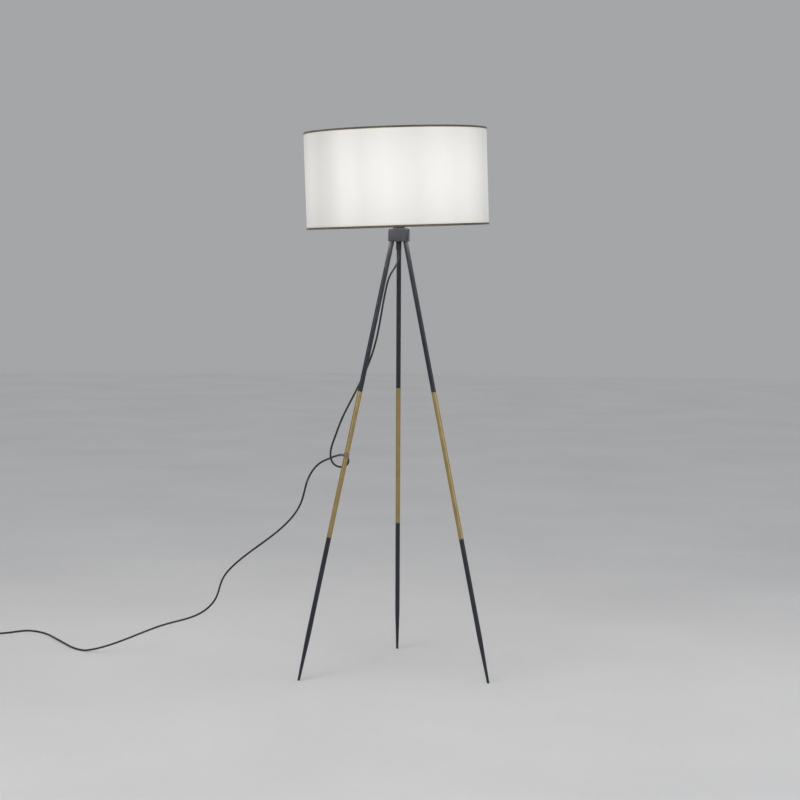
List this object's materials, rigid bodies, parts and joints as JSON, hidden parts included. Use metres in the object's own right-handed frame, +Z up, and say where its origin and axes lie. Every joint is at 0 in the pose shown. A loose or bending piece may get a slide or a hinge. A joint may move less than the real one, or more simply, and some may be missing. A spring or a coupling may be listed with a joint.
{
  "type": "tripod floor lamp",
  "caption": "Slim tripod floor lamp with splayed two-tone screw-together legs, a round hub, a white drum shade, a lampholder with a turn switch and its mains cord.",
  "frame": {"origin": "on the floor, under the middle of the lamp's own box without the cord", "axes": "+Z up; -Y is the front, between the left and right legs; the third leg points to +Y, and the cord runs off to -X"},
  "size_m": [1.6021, 0.7513, 1.501],
  "materials": {
    "black_paint": "satin black paint on steel",
    "gold_paint": "satin gold lacquer on steel",
    "zinc_plate": "bright zinc plate",
    "bright_brass": "bright brass",
    "pin_nickel": "nickel plate",
    "black_plastic": "black moulded plastic",
    "white_plastic": "white moulded plastic",
    "holder_ceramic": "unglazed white ceramic",
    "seal_rubber": "black rubber",
    "cord_skin": "soft black vinyl sheath",
    "brown_core": "brown vinyl insulation",
    "blue_core": "blue vinyl insulation",
    "clear_plastic": "clear moulded plastic",
    "shade_fabric": "fine white cotton weave, lit from inside",
    "shade_liner": "translucent white vinyl lining",
    "shade_trim": "taupe cotton tape rolled over the wire",
    "white_wire": "white powder-coated wire",
    "opal_globe": "opal diffuser, lit"
  },
  "bodies": {
    "stand": {"foot_tip_left": "black_plastic", "foot_tip_right": "black_plastic", "foot_tip_back": "black_plastic", "leg_lower_left": "black_paint", "leg_lower_right": "black_paint", "leg_lower_back": "black_paint", "joiner_lower_left": "zinc_plate", "joiner_lower_right": "zinc_plate", "joiner_lower_back": "zinc_plate", "leg_middle_left": "gold_paint", "leg_middle_right": "gold_paint", "leg_middle_back": "gold_paint", "joiner_upper_left": "zinc_plate", "joiner_upper_right": "zinc_plate", "joiner_upper_back": "zinc_plate", "leg_upper_left": "black_paint", "leg_upper_right": "black_paint", "leg_upper_back": "black_paint", "top_stud_left": "zinc_plate", "top_stud_right": "zinc_plate", "top_stud_back": "zinc_plate", "hub_body": "black_paint", "hub_cover": "black_paint", "nipple": "zinc_plate", "nipple_nut": "zinc_plate", "gland_body": "black_plastic", "gland_seal": "seal_rubber", "gland_nut": "black_plastic", "holder_cap": "black_plastic", "holder_sleeve": "black_plastic", "holder_insert": "holder_ceramic", "screw_shell": "bright_brass", "centre_contact": "bright_brass", "terminal_screw_live": "bright_brass", "terminal_screw_neutral": "bright_brass", "shade_ring_nut": "black_plastic", "lead_inside": "cord_skin", "core_live": "brown_core", "core_neutral": "blue_core", "cord_clip": "clear_plastic", "cord_run": "cord_skin", "plug_body": "cord_skin", "plug_pin_live": "pin_nickel", "plug_pin_neutral": "pin_nickel"},
    "shade": {"shade_fitter": "white_wire", "shade_arm_left": "white_wire", "shade_arm_right": "white_wire", "shade_arm_back": "white_wire", "shade_ring_bottom": "white_wire", "shade_fabric": "shade_fabric", "shade_liner": "shade_liner", "shade_trim_top": "shade_trim", "shade_trim_bottom": "shade_trim", "shade_ring_top": "white_wire"},
    "bulb": {"bulb_globe": "opal_globe", "bulb_body": "white_plastic", "bulb_cap": "pin_nickel", "bulb_contact": "pin_nickel"},
    "switch": {"switch_knob": "black_plastic", "switch_cam": "white_plastic"}
  },
  "joints": [
    {"name": "shade_turn", "type": "hinge", "parent": "stand", "child": "shade", "pos_m": [0.00326, -0.02299, 1.2648], "axis": [0, 0, 1], "continuous": true},
    {"name": "bulb_lift", "type": "slide", "parent": "stand", "child": "bulb", "axis": [0, 0, 1], "range_m": [0, 0.03]},
    {"name": "switch_turn", "type": "hinge", "parent": "stand", "child": "switch", "pos_m": [0.00326, -0.04299, 1.23774], "axis": [0, -1, 0], "continuous": true}
  ]
}
